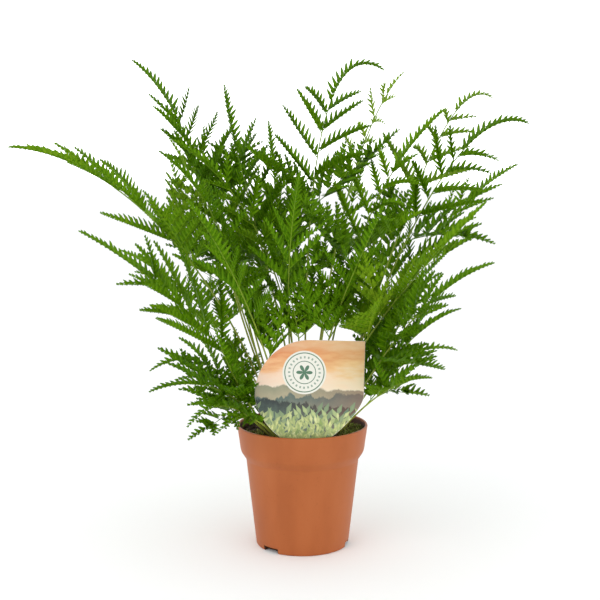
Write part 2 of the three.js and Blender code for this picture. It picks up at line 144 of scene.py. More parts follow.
# Closed tubes: rings is (tubes, rings, corners, 3) and ends the two points that close each tube.
# Corners run anticlockwise about the way from the first ring to the last one. u, v and tone hold a
# value for each corner, or fewer values that spread over them, and an end takes its ring's mean.
def tubes(rings, ends, u, v, tone, finish=0):
    count, steps, corners = rings.shape[:3]
    size, last = steps * corners + 2, (steps - 1) * corners
    low = np.arange(last)
    high = low - low % corners + (low + 1) % corners
    side = np.stack([low, high, high + corners, low + corners], -1)
    low, high = low[:corners], high[:corners]
    caps = np.concatenate([
        np.stack([np.full(corners, size - 2), high, low], -1),
        np.stack([np.full(corners, size - 1), last + low, last + high], -1)])
    shift = (np.arange(count) * size)[:, None, None]

    def spread(values):
        grid = np.broadcast_to(values, (count, steps, corners))
        return np.concatenate([grid.reshape(count, -1), grid[:, [0, -1]].mean(-1)], 1).ravel()

    return {
        "points": np.concatenate([rings.reshape(count, -1, 3), ends], 1).reshape(-1, 3) * mm,
        "quads": (side + shift).reshape(-1, 4),
        "triangles": (caps + shift).reshape(-1, 3),
        "u": spread(u), "v": spread(v), "tone": spread(tone), "finish": finish,
    }


# Rings about the points of paths, by two directions across each path, the radius and the angles.
def ringsAbout(path, across, up, radius, angle):
    cos, sin = np.cos(angle)[:, None], np.sin(angle)[:, None]
    return path[:, :, None] + radius * (across[:, :, None] * cos + up[:, :, None] * sin)


# An object in the scene, for a mesh, camera or light.
def newObject(name, data):
    thing = bpy.data.objects.new(name, data)
    bpy.context.scene.collection.objects.link(thing)
    return thing


# Several shapes as one mesh object on the body "root". Faces are smooth, but for edges that turn
# by more than the angle sharp.
def addPiece(name, shapes, materials, replaces=(), sharp=50):
    def joined(key):
        return np.concatenate([shape[key] for shape in shapes])

    points = joined("points")
    starts = np.cumsum([0] + [len(shape["points"]) for shape in shapes[:-1]])
    faces = [[shape[kind] + start for shape, start in zip(shapes, starts)]
             for kind in ("quads", "triangles")]
    finish = [np.full(len(part), shape["finish"])
              for kind in faces for part, shape in zip(kind, shapes)]
    quads, triangles = (np.concatenate(kind) for kind in faces)
    corners = np.concatenate([quads.ravel(), triangles.ravel()])
    mesh = bpy.data.meshes.new(name)
    mesh.vertices.add(len(points))
    mesh.vertices.foreach_set("co", points.astype(np.float32).ravel())
    mesh.loops.add(len(corners))
    mesh.loops.foreach_set("vertex_index", corners.astype(np.int32))
    mesh.polygons.add(len(quads) + len(triangles))
    begins = [4 * np.arange(len(quads)), 4 * len(quads) + 3 * np.arange(len(triangles))]
    mesh.polygons.foreach_set("loop_start", np.concatenate(begins).astype(np.int32))
    mesh.update(calc_edges=True)
    for material in materials:
        mesh.materials.append(material)
    mesh.polygons.foreach_set("material_index", np.concatenate(finish).astype(np.int32))
    places = np.stack([joined("u"), joined("v")], -1)[corners]
    mesh.uv_layers.new(name="growth").data.foreach_set("uv", places.astype(np.float32).ravel())
    tone = mesh.attributes.new("tone", "FLOAT", "POINT")
    tone.data.foreach_set("value", joined("tone").astype(np.float32))
    mesh.shade_smooth()
    mesh.set_sharp_from_angle(angle=math.radians(sharp))
    mesh.validate()
    piece = newObject(name, mesh)
    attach(piece, "root")
    if replaces:
        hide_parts(*replaces)
    return piece


# Materials

def newMaterial(name, roughness, specular=0.5):
    material = bpy.data.materials.new(name)
    material.use_nodes = True
    shader = material.node_tree.nodes["Principled BSDF"]
    shader.inputs["Roughness"].default_value = roughness
    shader.inputs["Specular IOR Level"].default_value = specular
    return material, material.node_tree, shader


def addNode(tree, kind, inputs=None, **settings):
    node = tree.nodes.new("ShaderNode" + kind)
    for key, value in settings.items():
        setattr(node, key, value)
    for key, value in (inputs or {}).items():
        if isinstance(value, bpy.types.NodeSocket):
            tree.links.new(value, node.inputs[key])
        else:
            node.inputs[key].default_value = value
    return node


# The node tree of whichever value comes from another node.
def treeOf(*values):
    return next(value.id_data for value in values if isinstance(value, bpy.types.NodeSocket))


def calc(operation, *values):
    return addNode(treeOf(*values), "Math", dict(enumerate(values)), operation=operation).outputs[0]


# The product of two values, plus a third.
def times(a, b, plus=0.0):
    return calc("MULTIPLY_ADD", a, b, plus)


# A value that a noise, which lies about 0.5, moves up and down within the reach.
def stirred(value, noise, reach):
    return calc("ADD", value, times(noise, reach, -reach / 2))


# A colour as the eye sees it on a screen, 0 to 255, in the light values that nodes use. A colour
# that comes from another node stays as it is.
def screen(colour):
    if isinstance(colour, bpy.types.NodeSocket):
        return colour
    share = np.array(colour) / 255
    light = np.where(share <= 0.04045, share / 12.92, ((share + 0.055) / 1.055) ** 2.4)
    return (*light.tolist(), 1.0)


def ramp(factor, stops):
    node = addNode(treeOf(factor), "ValToRGB", {"Fac": factor})
    elements = node.color_ramp.elements
    while len(elements) < len(stops):
        elements.new(1.0)
    for element, (position, colour) in zip(elements, stops):
        element.position, element.color = position, screen(colour)
    return node.outputs["Color"]


def blendColour(share, low, high):
    inputs = {0: share, 6: screen(low), 7: screen(high)}
    return addNode(treeOf(share, low, high), "Mix", inputs, data_type="RGBA").outputs[2]


# A noise about 0.5, in the object's own coordinates unless a vector is given.
def noise(tree, scale, detail, roughness, vector=None):
    inputs = {"Scale": scale, "Detail": detail, "Roughness": roughness}
    inputs["Vector"] = vector or addNode(tree, "TexCoord").outputs["Object"]
    return addNode(tree, "TexNoise", inputs).outputs["Fac"]


# One input of a shader from another node.
def feed(shader, name, value):
    shader.id_data.links.new(value, shader.inputs[name])


def bump(shader, height, strength, distance):
    inputs = {"Height": height, "Strength": strength, "Distance": distance * mm}
    feed(shader, "Normal", addNode(treeOf(height), "Bump", inputs).outputs["Normal"])


# Where a point lies on its shape, from the map "growth", and its own shade.
def growthPlace(tree):
    place = addNode(tree, "UVMap", uv_map="growth").outputs["UV"]
    split = addNode(tree, "SeparateXYZ", {"Vector": place}).outputs
    return split["X"], split["Y"], addNode(tree, "Attribute", attribute_name="tone").outputs["Fac"]


# Camera, floor and light

studio = {
    "camera": (-2.2, -1052, 356),
    "lookDown": 7.04,
    "lens": 70.14,
    "floor": (0.972, 0.982, 0.986),
    "horizon": 2.15,
    "zenith": 0.90,
    # name, place, width and power of each light
    "lights": [("keyLight", (-1.1, -1.5, 2.2), 1.6, 10), ("fillLight", (1.6, -1.2, 1.2), 1.8, 2.8)],
    "lightAim": (0, 0, 0.25),
    "floorReach": 12.0,
}


def addCamera():
    data = bpy.data.cameras.new("camera")
    data.lens = studio["lens"]
    data.sensor_width = 36
    data.clip_start, data.clip_end = 0.01, 50
    camera = newObject("camera", data)
    camera.location = [mm * x for x in studio["camera"]]
    camera.rotation_euler = (math.radians(90 - studio["lookDown"]), 0, 0)
    bpy.context.scene.camera = camera


# The floor is one flat square; its white runs into the white of the world around it. The world is
# brightest at its horizon, which keeps the shadow close to the pot.
def addStudio():
    world = bpy.data.worlds.new("studio")
    world.use_nodes = True
    tree = world.node_tree
    background = tree.nodes["Background"]
    sight = addNode(tree, "TexCoord").outputs["Generated"]
    height = addNode(tree, "SeparateXYZ", {"Vector": sight}).outputs["Z"]
    background.inputs["Color"].default_value = (1, 1, 1, 1)
    feed(background, "Strength", addNode(tree, "MapRange", {
        "Value": height, "From Min": 0.0, "From Max": 0.6, "To Min": studio["horizon"],
        "To Max": studio["zenith"]}).outputs["Result"])
    bpy.context.scene.world = world
    reach = studio["floorReach"]
    mesh = bpy.data.meshes.new("floor")
    corners = [(-reach, -reach, 0), (reach, -reach, 0), (reach, reach, 0), (-reach, reach, 0)]
    mesh.from_pydata(corners, [], [(0, 1, 2, 3)])
    floor = newObject("floor", mesh)
    white, _, shader = newMaterial("floorWhite", 0.9)
    shader.inputs["Base Color"].default_value = (*studio["floor"], 1)
    mesh.materials.append(white)
    floor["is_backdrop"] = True
    for name, place, size, power in studio["lights"]:
        data = bpy.data.lights.new(name, "AREA")
        data.size, data.energy = size, power
        light = newObject(name, data)
        light.location = place
        aim = np.array(studio["lightAim"]) - place
        tilt = math.acos(-aim[2] / np.linalg.norm(aim))
        light.rotation_euler = (tilt, 0, math.atan2(aim[1], aim[0]) - math.pi / 2)
    view = bpy.context.scene.view_settings
    view.view_transform, view.look = "Standard", "None"


addCamera()
addStudio()
print("studio ready")


# Pot

pot = {
    "sides": 144,
    "foot": 42.5,
    "notchAngles": (-132.6, -12.6, 107.4),
    "notchWidth": 17,
    "notchHeight": 4.6,
    "notchReach": (-6.7, 7),  # from the foot's edge, inwards and outwards
    "drainHoles": 6,
    "drainRadius": 4,
    "drainCircle": 25.5,
    "drainCut": (1, 8),  # the heights between which the holes are cut
    # radius, height and rounding of each corner of the wall's section, from the middle of the
    # underside round the outside and down the inside to the middle of the floor
    "section": [
        (0, 0, 0), (15, 0, 0.5), (16.5, 3, 0.8), (34.5, 3, 0.8), (36, 0, 0.5), (42.5, 0, 1.6),
        (43.3, 7, 0.5), (51.7, 80.5, 1.2), (56.6, 88, 2.2), (59.8, 111, 0.5), (59.3, 112, 0.45),
        (57.8, 112, 0.5), (54.8, 88, 2.0), (50.1, 80.5, 1.5), (41.8, 5.5, 2.0), (0, 5.5, 0)],
    "colour": (165, 90, 45),
    "pale": (171, 96, 51),
    "dark": (156, 83, 40),
    "innerShade": (0.2174, 0.2162),  # shares of the section where the painted shade on the inner wall starts and is full
}


# Each corner of a section as a quadratic arc between the two points that lie its rounding away.
def rounded(section, steps=5):
    points = np.array([corner[:2] for corner in section], float)
    found = [points[:1]]
    t = np.linspace(0, 1, steps)[:, None]
    for before, here, after, (_, _, radius) in zip(points, points[1:], points[2:], section[1:-1]):
        start, end = here + unit(before - here) * radius, here + unit(after - here) * radius
        found.append((1 - t) ** 2 * start + 2 * t * (1 - t) * here + t ** 2 * end)
    found.append(points[-1:])
    return np.concatenate(found)


# A section of (radius, height) turned about Z, closed at its two ends on the axis.
def turned(section, sides):
    angle = circle(sides)
    rings = polar(section[1:-1, :1], angle, section[1:-1, 1:])[None]
    ends = polar(0.0, 0.0, section[[0, -1], 1])[None]
    u = np.linspace(0, 1, len(section) - 2)[:, None]
    return tubes(rings[:, :, ::-1], ends, u, 0.5 + 0.5 * np.cos(angle), 0.5)


# Boxes and round rods that cut the notches and the drain holes.
def potCutters():
    shapes = []
    half, top = pot["notchWidth"] / 2, pot["notchHeight"]
    ring = np.array([[-half, -2], [half, -2], [half, top], [-half, top]])
    for angle in np.radians(pot["notchAngles"]):
        out, across = polar(1.0, angle), polar(1.0, angle + np.pi / 2)
        flat = ring[:, :1] * across + ring[:, 1:] * skyward
        rings = np.stack([flat + out * (pot["foot"] + reach) for reach in pot["notchReach"]])[None]
        shapes.append(tubes(rings, rings.mean(2), 0, 0, 0))
    middle = polar(pot["drainCircle"], circle(pot["drainHoles"], math.radians(15)))
    heights = np.array(pot["drainCut"])[:, None, None] * skyward
    rings = middle[:, None, None] + polar(pot["drainRadius"], circle(20)) + heights
    shapes.append(tubes(rings, rings.mean(2), 0, 0, 0))
    return shapes


def plasticMaterial():
    material, tree, shader = newMaterial("terracottaPlastic", 0.46, 0.25)
    place = addNode(tree, "TexCoord").outputs["Object"]
    stretched = addNode(tree, "Mapping", {"Vector": place, "Scale": (1, 1, 0.25)}).outputs["Vector"]
    streak = noise(tree, 38, 4, 0.55, stretched)
    cloud = noise(tree, 14, 3, 0.5)
    grain = noise(tree, 900, 2, 0.6)
    colour = ramp(streak, [(0.3, pot["dark"]), (0.5, pot["colour"]), (0.72, pot["pale"])])
    colour = blendColour(times(cloud, 0.35), colour, pot["colour"])
    speck = ramp(noise(tree, 420, 1, 0.5), [(0.68, (0, 0, 0)), (0.74, (255, 255, 255))])
    colour = blendColour(times(speck, 0.2), colour, (128, 66, 30))
    # painted shade: the inner wall darkens below the rim in a ragged edge, in place of the foliage's
    # shadow
    ragged = stirred(growthPlace(tree)[0], noise(tree, 120, 4, 0.6), 0.002)
    inside = addNode(tree, "MapRange", {
        "Value": ragged, "From Min": pot["innerShade"][0], "From Max": pot["innerShade"][1], "To Min": 0.0,
        "To Max": 0.9}).outputs["Result"]
    # painted shade: the dark brown that the inner wall blends to
    colour = blendColour(inside, colour, (50, 26, 14))
    feed(shader, "Base Color", colour)
    feed(shader, "Roughness", times(streak, 0.1, 0.42))
    bump(shader, times(streak, 0.15, times(grain, 0.25)), 0.3, 0.2)
    return material


def addPot():
    material = plasticMaterial()
    wall = turned(rounded(pot["section"])[::-1], pot["sides"])
    piece = addPiece("potShell", [wall], [material], ["pot"], 40)
    cutters = addPiece("potCutters", potCutters(), [material])
    cut = piece.modifiers.new("notches", "BOOLEAN")
    cut.operation, cut.object, cut.solver = "DIFFERENCE", cutters, "EXACT"
    result = piece.evaluated_get(bpy.context.evaluated_depsgraph_get())
    piece.data = bpy.data.meshes.new_from_object(result)
    piece.modifiers.clear()
    bpy.data.objects.remove(cutters)


addPot()
print("pot ready")


# Soil and what grows on it

soil = {
    "edge": 104.6,
    "middle": 106.6,
    "edgeRadius": 57.0,
    "lower": [(40, 6), (48, 82)],  # radius and height of its rings in the pot, from the bottom
    "moundStart": 34,
    "humps": 0.55,
    "crumbs": 1500,
    "mossTufts": 170,
    "mossReach": (53.5, 56.8),  # of a tuft's middle and of its needles
    "needles": 26,
    # where moss stands: angle about the pot, radius, spread of the patch, share of the tufts
    "mossPatches": [
        (-30, 46, 12, 0.4), (2, 46, 11, 0.3), (-150, 48, 10, 0.15), (100, 40, 25, 0.15)],
}


def soilMaterial():
    material, tree, shader = newMaterial("peat", 0.95)
    crumb = noise(tree, 260, 5, 0.7)
    patch = noise(tree, 60, 3, 0.5)
    colour = ramp(crumb, [(0.3, (24, 16, 9)), (0.5, (58, 40, 24)), (0.72, (104, 78, 50))])
    colour = blendColour(times(patch, 0.5), colour, (44, 34, 18))
    feed(shader, "Base Color", colour)
    bump(shader, crumb, 0.9, 1.2)
    return material


def mossMaterial():
    material, tree, shader = newMaterial("moss", 0.8)
    along, _, tone = growthPlace(tree)
    colour = ramp(tone, [
        (0.1, (58, 40, 14)), (0.35, (96, 74, 26)), (0.55, (90, 118, 26)), (0.75, (140, 158, 52)),
        (0.95, (222, 212, 130))])
    colour = blendColour(times(calc("SUBTRACT", 1, along), 0.6), colour, (44, 36, 12))
    feed(shader, "Base Color", colour)
    return material


# Height of the soil: a low mound plus rolling humps, sums of sines across the pot.
def soilHeight(x, y):
    radius = np.hypot(x, y)
    fall = (radius - soil["moundStart"]) / (soil["edgeRadius"] - soil["moundStart"])
    mound = mix(soil["middle"], soil["edge"], np.clip(fall, 0, 1))
    humps = (np.sin(0.31 * x + 1.3) * np.cos(0.27 * y) + 0.7 * np.sin(0.52 * x - 0.44 * y + 2)
             + 0.5 * np.sin(0.9 * y + 0.7 * x) + 0.3 * np.sin(1.7 * x + 0.4) * np.sin(1.5 * y + 1))
    return mound - 0.9 + soil["humps"] * humps * np.clip((soil["edgeRadius"] - radius) / 6, 0, 1)


# Points by x and y that lie lift above the soil.
def onSoil(place, lift=0.0):
    x, y = place[..., 0], place[..., 1]
    return np.stack([x, y, soilHeight(x, y) + lift], -1)


def addSoil():
    angle = circle(160)
    top = onSoil(polar(soil["edgeRadius"] * np.linspace(1, 0.02, 46)[:, None], angle))
    lower = [polar(radius, angle, height) for radius, height in soil["lower"]]
    ends = polar(0.0, 0.0, np.array([soil["lower"][0][1], soilHeight(0, 0)]))
    ground = tubes(np.concatenate([lower, top])[None], ends[None], 0, 0, 0.5)
    # crumbs: lumps of two rings of five corners each
    rng = np.random.default_rng(7)
    count = soil["crumbs"]
    angle = rng.uniform(0, 2 * np.pi, count)
    away = soil["edgeRadius"] * 0.985 * np.sqrt(rng.uniform(0, 1, count))
    size = rng.gamma(2.2, 0.42, count).clip(0.35, 2.4)
    away = np.minimum(away, soil["edgeRadius"] - size)
    middle = onSoil(polar(away, angle), 0.25 * size)
    wobble = rng.uniform(0.7, 1.25, (count, 2, 5))
    turn = rng.uniform(0, 2 * np.pi, (count, 1, 1))
    rings = polar(wobble, circle(5) + turn, np.array([[-0.45], [0.45]])) * size[:, None, None, None]
    ends = np.array([[-0.8], [0.8]]) * skyward * size[:, None, None]
    crumbs = tubes(rings + middle[:, None, None], ends + middle[:, None], 0, 0, 0.5)
    addPiece("peatSoil", [ground, crumbs], [soilMaterial()], ["soil"], 35)


# Moss: tufts of thin three-sided needles. Each leans out by the power 1.5 of its share, and its
# rise slackens by the square of it.
def addMoss():
    rng = np.random.default_rng(21)
    patches = np.array(soil["mossPatches"])
    patch = rng.choice(len(patches), soil["mossTufts"], p=patches[:, 3])
    angle, radius, spread, _ = patches[patch].T
    middle = polar(radius, np.radians(angle))[:, :2]
    middle = middle + rng.normal(0, 0.5, middle.shape) * spread[:, None]
    far = np.linalg.norm(middle, axis=1, keepdims=True)
    middle = np.repeat(middle * np.minimum(1, soil["mossReach"][0] / far), soil["needles"], 0)
    count = len(middle)
    root = onSoil(middle + rng.normal(0, 1.1, middle.shape), -0.4)
    way = rng.uniform(0, 2 * np.pi, count)
    lean = rng.uniform(0.1, 1.0, count)
    length = rng.uniform(5.0, 10.5, count)
    tuftTone = np.repeat(rng.uniform(0, 1, soil["mossTufts"]), soil["needles"])
    out = polar(1.0, way)
    s = np.linspace(0, 0.8, 3)
    forward = (lean * length)[:, None, None] * out[:, None]
    upward = (length * (1 - 0.35 * lean))[:, None, None] * skyward

    def axis(share):
        share = share[:, None]
        return root[:, None] + forward * share ** 1.5 + upward * (share - 0.3 * share ** 2)

    path = axis(s)
    width = 0.55 * (1 - 0.6 * s)[:, None, None]
    rings = ringsAbout(path, polar(1.0, way + np.pi / 2)[:, None], -out[:, None], width, circle(3))
    ends = np.stack([path[:, 0] - 0.2 * skyward, axis(np.array([1.0]))[:, 0]], 1)
    reach = np.linalg.norm(rings[..., :2], axis=-1).max((1, 2))
    keep = np.maximum(reach, np.hypot(ends[:, 1, 0], ends[:, 1, 1])) < soil["mossReach"][1]
    tone = mix(tuftTone, rng.uniform(0, 1, count), 0.45)[keep, None, None]
    tufts = tubes(rings[keep], ends[keep], s[None, :, None], 0.5, tone)
    addPiece("mossTufts", [tufts], [mossMaterial()], (), 70)


addSoil()
addMoss()
print("soil ready")


# Label

label = {
    "radius": 47.8,
    "thickness": 1.0,
    "edge": 0.35,
    "middle": (6, -45.6, 148.5),
    "lean": 4,
    "turn": -1.3,
    "fullness": (0.3, 0.47),  # of the outline's lower right and lower left
    "stakeWidth": 12,
    "stakeLength": 14,
    "stakeThickness": 0.7,
    "sides": 240,  # of the outline
    "sealMiddle": (0.45, 0.7),
    "sealRadius": 0.2,
    # level, rise to the right, depth and scale of each ridge, its colours at the top and below
    "ridges": [
        (0.56, -0.04, 0.20, 3.5, (140, 142, 116), (196, 178, 146)),
        (0.49, 0.06, 0.24, 7.0, (72, 98, 92), (138, 138, 116)),
        (0.41, -0.10, 0.26, 12.0, (28, 42, 42), (84, 106, 94))],
    # lean, top level, number across and along the card and the two colours of each layer of grass
    "grass": [
        (-24, 0.38, 19, 7.0, (92, 116, 92), (142, 158, 112)),
        (30, 0.35, 22, 7.6, (110, 134, 98), (184, 196, 132)),
        (-42, 0.31, 26, 9.4, (120, 140, 84), (206, 210, 146)),
        (10, 0.29, 28, 9.0, (134, 156, 82), (226, 226, 170)),
        (46, 0.25, 28, 10, (110, 134, 80), (210, 212, 140)),
        (-14, 0.21, 32, 11, (122, 146, 78), (222, 222, 150)),
        (-50, 0.17, 32, 11, (96, 120, 66), (200, 206, 128)),
        (34, 0.12, 34, 12, (104, 126, 70), (214, 216, 148))],
}


# Outline of the drop: a square corner at the upper right, a quarter circle at the upper left and
# two fuller or slacker Bezier quarters below, as points at even steps of each stretch.
def dropOutline():
    radius = label["radius"]
    right, left = (share * radius for share in label["fullness"])
    quarter = label["sides"] // 4
    t = np.arange(quarter)[:, None] / quarter
    corner = radius * np.array([[1, 0], [1, 1], [0, 1]])
    square = np.concatenate([mix(corner[i], corner[i + 1], t[::2]) for i in (0, 1)])
    upper = polar(radius, np.pi / 2 * (1 + t[:, 0]))[:, :2]
    lower = [bezier(t, *np.array(corners)) for corners in [
        [(-radius, 0), (-radius, -left), (-left, -radius), (0, -radius)],
        [(0, -radius), (right, -radius), (radius, -right), (radius, 0)]]]
    return np.concatenate([square, upper, *lower])


# Points of the flat card, whose face looks along Z, where it stands: turned, raised and moved.
def labelPlace(points):
    cos, sin = cosSin(label["turn"])
    x, y, z = points[..., 0], points[..., 1], points[..., 2]
    x, y = cos * x - sin * y, sin * x + cos * y
    cos, sin = cosSin(90 - label["lean"])
    y, z = cos * y - sin * z, sin * y + cos * z
    return np.stack([x, y, z], -1) + label["middle"]


# The art on the card is made up: streaks of evening sky, three ridges of hills, a field of grass
# blades and a pale round seal with a rosette, all from the card's own two coordinates.
def labelMaterial():
    material, tree, shader = newMaterial("printedCard", 0.33)
    u, v, tone = growthPlace(tree)
    flat = addNode(tree, "CombineXYZ", {"X": u, "Y": v, "Z": 0.0}).outputs["Vector"]

    def flatNoise(scale, stretch, detail=4, roughness=0.55):
        place = addNode(tree, "Mapping", {"Vector": flat, "Scale": (*stretch, 1)})
        return noise(tree, scale, detail, roughness, place.outputs["Vector"])

    sky = ramp(stirred(v, flatNoise(3.2, (1, 3.4)), 0.42), [
        (0.40, (206, 196, 186)), (0.52, (232, 214, 196)), (0.66, (238, 206, 182)),
        (0.76, (232, 176, 126)), (0.86, (214, 130, 76)), (0.97, (222, 168, 130))])
    haze = times(times(flatNoise(2.2, (1, 1), 2), u), 0.6)
    picture = blendColour(haze, sky, (206, 204, 128))

    def below(edge, softness):
        return calc("DIVIDE", calc("SUBTRACT", edge, v), softness)

    def clamp(value):
        return addNode(tree, "Clamp", {"Value": value}).outputs[0]

    # ridges of hills, each with its own slope, the last one a dark wood
    wash = flatNoise(9.0, (1, 1.6), 4, 0.7)
    for level, rise, depth, scale, dark, pale in label["ridges"]:
        slope = times(u, rise, level - rise / 2)
        edge = stirred(slope, flatNoise(scale, (1, 0.4), 6, 0.65), depth)
        depthBelow = times(wash, 0.6, calc("SUBTRACT", below(edge, 0.2), 0.3))
        face = blendColour(clamp(depthBelow), dark, pale)
        face = blendColour(times(times(u, u), 0.5), face, (134, 82, 62))
        picture = blendColour(clamp(below(edge, 0.014)), picture, face)
    # grass: leaning lozenges, one to a Voronoi cell, drawn where the middle of the cell is low
    for lean, level, across, along, dark, pale in label["grass"]:
        cos, sin = cosSin(lean)
        spun = addNode(tree, "Mapping", {
            "Vector": flat, "Rotation": (0, 0, math.radians(lean)),
            "Scale": (1 / across, 1 / along, 1)}, vector_type="TEXTURE").outputs["Vector"]
        cell = addNode(tree, "TexVoronoi", {"Vector": spun, "Scale": 1.0, "Randomness": 0.85},
                       voronoi_dimensions="2D", distance="MANHATTAN")
        middle = addNode(tree, "SeparateXYZ", {"Vector": cell.outputs["Position"]}).outputs
        low = times(middle["X"], sin / across, times(middle["Y"], cos / along))
        hue = addNode(tree, "SeparateColor", {"Color": cell.outputs["Color"]}).outputs[0]
        far = cell.outputs["Distance"]
        blade = blendColour(times(far, 1.1), blendColour(hue, dark, pale), dark)
        inside = calc("LESS_THAN", far, 0.44)
        drawn = calc("LESS_THAN", low, times(hue, 0.1, level - 0.05))
        picture = blendColour(times(inside, drawn), picture, blade)
    # the seal: rings by the distance from its middle, petals by the cosine of three times the angle
    dx, dy = (calc("SUBTRACT", a, b) for a, b in zip((u, v), label["sealMiddle"]))
    away = calc("SQRT", calc("ADD", times(dx, dx), times(dy, dy)))
    angle = calc("ARCTAN2", dy, dx)
    petal = calc("ABSOLUTE", calc("COSINE", times(angle, 3)))

    def ring(inner, outer):
        return times(calc("GREATER_THAN", away, inner), calc("LESS_THAN", away, outer))

    picture = blendColour(calc("LESS_THAN", away, label["sealRadius"]), picture, (226, 224, 214))
    for mask in (ring(0.175, 0.184), ring(0.1, 0.107),
                 calc("LESS_THAN", away, times(petal, 0.062, 0.013))):
        picture = blendColour(mask, picture, (70, 112, 84))
    dots = times(ring(0.13, 0.15), calc("GREATER_THAN", calc("COSINE", times(angle, 24)), 0.25))
    picture = blendColour(times(dots, 0.8), picture, (110, 140, 118))
    # the cut edge and the back are plain card
    picture = blendColour(calc("GREATER_THAN", tone, 0.5), (238, 234, 224), picture)
    feed(shader, "Base Color", picture)
    bump(shader, noise(tree, 700, 2, 0.5), 0.08, 0.1)
    return material


def addLabel():
    outline = dropOutline()
    half, edge = label["thickness"] / 2, label["edge"]
    # the card's rings from its back to its face: level, how far each lies inside the outline, share
    depth, inset, share = np.array([
        (-half, 1, 0.4356), (-half, 1, 0.66), (-half, 1, 1), (-half, edge, 1),
        (0.3 * edge - half, 0.3 * edge, 1), (edge - half, 0, 1), (half - edge, 0, 1),
        (half - 0.3 * edge, 0.3 * edge, 1), (half, edge, 1), (half, 1, 1), (half, 1, 0.66),
        (half, 1, 0.33)]).T[:, :, None, None]
    rings = (outline - unit(outline) * inset) * share
    rings = np.concatenate([rings, np.broadcast_to(depth, (*rings.shape[:2], 1))], -1)
    ends = np.array([[-half], [half]]) * skyward
    face = np.where(depth == half, 1.0, 0.0)[..., 0]
    card = tubes(labelPlace(rings)[None], labelPlace(ends)[None], 0, 0, face)
    flat = np.concatenate([rings.reshape(-1, 3), ends]) / (2 * label["radius"]) + 0.5
    card["u"], card["v"] = flat[:, 0], flat[:, 1]
    # the stake: a flat strip that ends in a point
    wide, thin = label["stakeWidth"] / 2, label["stakeThickness"] / 2
    foot = -label["radius"] - label["stakeLength"]
    x, z = np.array([[-wide, wide, wide, -wide], [-thin, -thin, thin, thin]])
    y, share = np.array([(4 - label["radius"], 1), (foot + 5, 1), (foot + 0.6, 0.1)]).T[:, :, None]
    rings = np.stack(np.broadcast_arrays(x * share, y, z), -1)
    ends = np.array([[0, y[0, 0], 0], [0, foot, 0]])
    stake = tubes(labelPlace(rings)[None], labelPlace(ends)[None], 0, 0, 0.0)
    addPiece("labelCard", [card, stake], [labelMaterial()], ["label"], 40)


addLabel()
print("label ready")


# Fronds

leaf = {
    "stemRadius": 1.0,
    "stemTipRadius": 0.5,
    "ribRadius": 0.5,
    "ribEndRadius": 0.18,
    "lobePitch": 4.5,
    "finePitch": 4.6,
    "branchPitch": 18,
    "branchAngle": 50,
    "branchLength": 0.42,
    "lobeAngle": 62,
    "lobeLean": 24,  # how much less the angle is at the rib's end
    "lobeCrowding": 1.25,
    "lobeFade": 0.45,
    "lobeBend": 0.13,
    "lobeSink": 0.10,
    "webWidth": 0.5,  # half width of a lobe's foot as a share of the pitch
    "combLobe": (0.22, 1.55, 60),  # share of a lobe that is webbed, its half width, its fold
    "fineLobe": (0.42, 1.95, 38),
    "thickness": 0.42,
    "pinnaLift": 17,
    "branchLift": 30,
    "tailLift": 50,
    "pairOffset": 0.05,
    "skyPull": 0.65,
    "faceTwist": 30,
    "sweep": 0.16,
    "droop": 0.14,
    "plantingDepth": 96,
    "stemStations": 6,
    "spread": 53,
    "tail": 0.72,
}
# what each pinna may have tried: turns up and outwards, and shares of its length
turns = [(0, 0), (13, 0), (-13, 0), (0, -11), (0, 11), (26, 0), (-26, 0), (20, -16), (-20, -16),
         (20, 14), (-20, 14), (40, 0), (-40, 0), (60, 10), (30, 28), (-30, 28)]
lengthShares = [1, 0.82, 0.64, 0.46]

